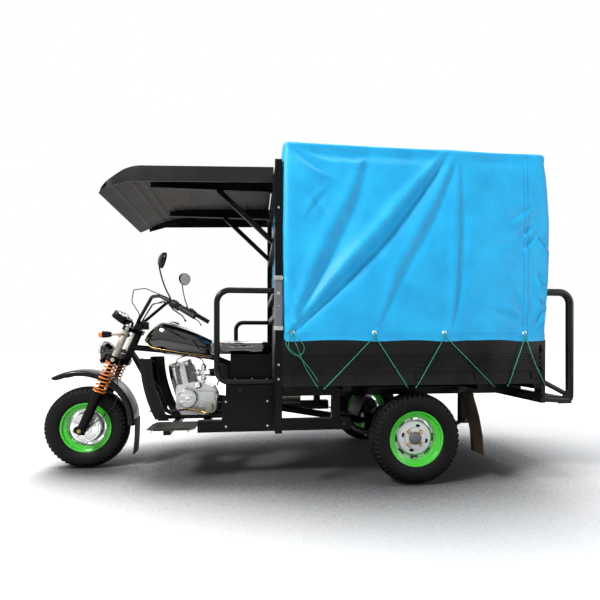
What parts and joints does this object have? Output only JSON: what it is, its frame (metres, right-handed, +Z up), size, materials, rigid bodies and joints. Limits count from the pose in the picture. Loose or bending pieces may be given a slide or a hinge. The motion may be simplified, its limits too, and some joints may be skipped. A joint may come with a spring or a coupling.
{
  "type": "cargo motor tricycle",
  "caption": "Three-wheeled cargo motorcycle with a steerable front fork, air-cooled engine, open cab roof and a flat load bed under a tarpaulin canopy.",
  "frame": {"origin": "on the ground under the middle of the vehicle's overall box", "axes": "+X forward, +Y to the rider's left, +Z up"},
  "size_m": [3.344, 1.2926, 1.984],
  "materials": {
    "black_paint": "gloss",
    "green_paint": "gloss",
    "wheel_silver": "satin",
    "tyre_rubber": "matte",
    "spring_orange": "gloss",
    "fork_silver": "satin",
    "engine_aluminium": "satin",
    "chrome": "polished",
    "grip_rubber": "matte",
    "black_plastic": "gloss",
    "lamp_plastic": "gloss",
    "seat_vinyl": "satin",
    "tarp_blue": "matte",
    "bed_paint": "gloss",
    "flap_rubber": "matte",
    "spring_steel": "satin",
    "tank_paint": "gloss",
    "zinc_steel": "satin",
    "tube_steel": "gloss"
  },
  "bodies": {
    "chassis": {"arm_rail_left": "tube_steel", "arm_rail_right": "tube_steel", "bed_floor": "bed_paint", "bed_front_wall": "bed_paint", "bed_side_left": "bed_paint", "bed_side_right": "bed_paint", "cab_roof": "black_plastic", "canopy": "tarp_blue", "canopy_frame": "tube_steel", "chassis_frame": "black_paint", "engine_crankcase": "engine_aluminium", "engine_cylinder": "engine_aluminium", "exhaust": "chrome", "foot_controls": "zinc_steel", "footboards": "black_paint", "front_frame": "black_paint", "fuel_tank": "tank_paint", "headboard": "black_paint", "leaf_springs": "spring_steel", "leg_shields": "black_plastic", "mud_flaps": "flap_rubber", "prop_shaft": "spring_steel", "rear_axle": "black_paint", "rear_guard": "tube_steel", "rear_mudguards": "black_paint", "rider_seat": "seat_vinyl", "seat_box": "black_paint", "side_panels": "black_plastic", "tail_lamps": "lamp_plastic"},
    "steering": {"control_cables": "grip_rubber", "fork": "black_paint", "fork_covers": "fork_silver", "fork_springs": "spring_orange", "front_brake": "wheel_silver", "front_flap": "flap_rubber", "front_mudguard": "black_paint", "hand_controls": "grip_rubber", "handlebar": "chrome", "headlamp": "black_plastic", "instrument": "black_plastic", "mirrors": "black_plastic", "turn_signals": "lamp_plastic"},
    "front_wheel": {"rim_front": "green_paint", "tyre_front": "tyre_rubber", "wheel_centre_front": "wheel_silver"},
    "rear_wheel_left": {"rim_rear_left": "green_paint", "tyre_rear_left": "tyre_rubber", "wheel_centre_rear_left": "wheel_silver"},
    "rear_wheel_right": {"rim_rear_right": "green_paint", "tyre_rear_right": "tyre_rubber", "wheel_centre_rear_right": "wheel_silver"},
    "tailgate": {"tailgate": "bed_paint"}
  },
  "joints": [
    {"name": "steering_turn", "type": "hinge", "parent": "chassis", "child": "steering", "pos_m": [1.13035, 0, 0.76612], "axis": [-0.3987, 0, 0.9171], "range_deg": [-36, 36]},
    {"name": "front_wheel_spin", "type": "hinge", "parent": "steering", "child": "front_wheel", "pos_m": [1.3995, 0, 0.2725], "axis": [0, 1, 0], "continuous": true},
    {"name": "rear_wheel_left_spin", "type": "hinge", "parent": "chassis", "child": "rear_wheel_left", "pos_m": [-0.6715, 0.551, 0.2725], "axis": [0, 1, 0], "continuous": true},
    {"name": "rear_wheel_right_spin", "type": "hinge", "parent": "chassis", "child": "rear_wheel_right", "pos_m": [-0.6715, -0.551, 0.2725], "axis": [0, 1, 0], "continuous": true},
    {"name": "tailgate_swing", "type": "hinge", "parent": "chassis", "child": "tailgate", "pos_m": [-1.4675, 0, 0.603], "axis": [0, -1, 0], "range_deg": [0, 90]}
  ]
}
